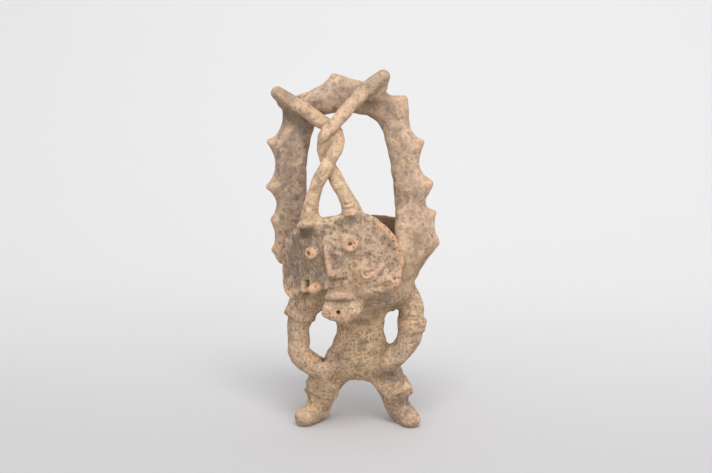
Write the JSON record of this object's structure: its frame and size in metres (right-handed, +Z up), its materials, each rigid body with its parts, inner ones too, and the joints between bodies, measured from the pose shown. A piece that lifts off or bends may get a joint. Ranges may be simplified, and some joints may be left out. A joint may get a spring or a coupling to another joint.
{
  "type": "figural incense burner",
  "caption": "Hand-built clay burner: a standing figure carries an open bowl behind its bent mask, with twisted horns and a spiked arched handle overhead.",
  "frame": {"origin": "under the middle of the object's box, on the plane it stands on", "axes": "+Z up, -Y the way the figure faces, +X towards the figure's own left hand"},
  "size_m": [0.194, 0.172, 0.3979],
  "materials": {
    "clay": "matt unglazed buff clay with black mineral spots and grey fire clouds"
  },
  "bodies": {
    "root": {"incense_burner": "clay"}
  },
  "joints": []
}
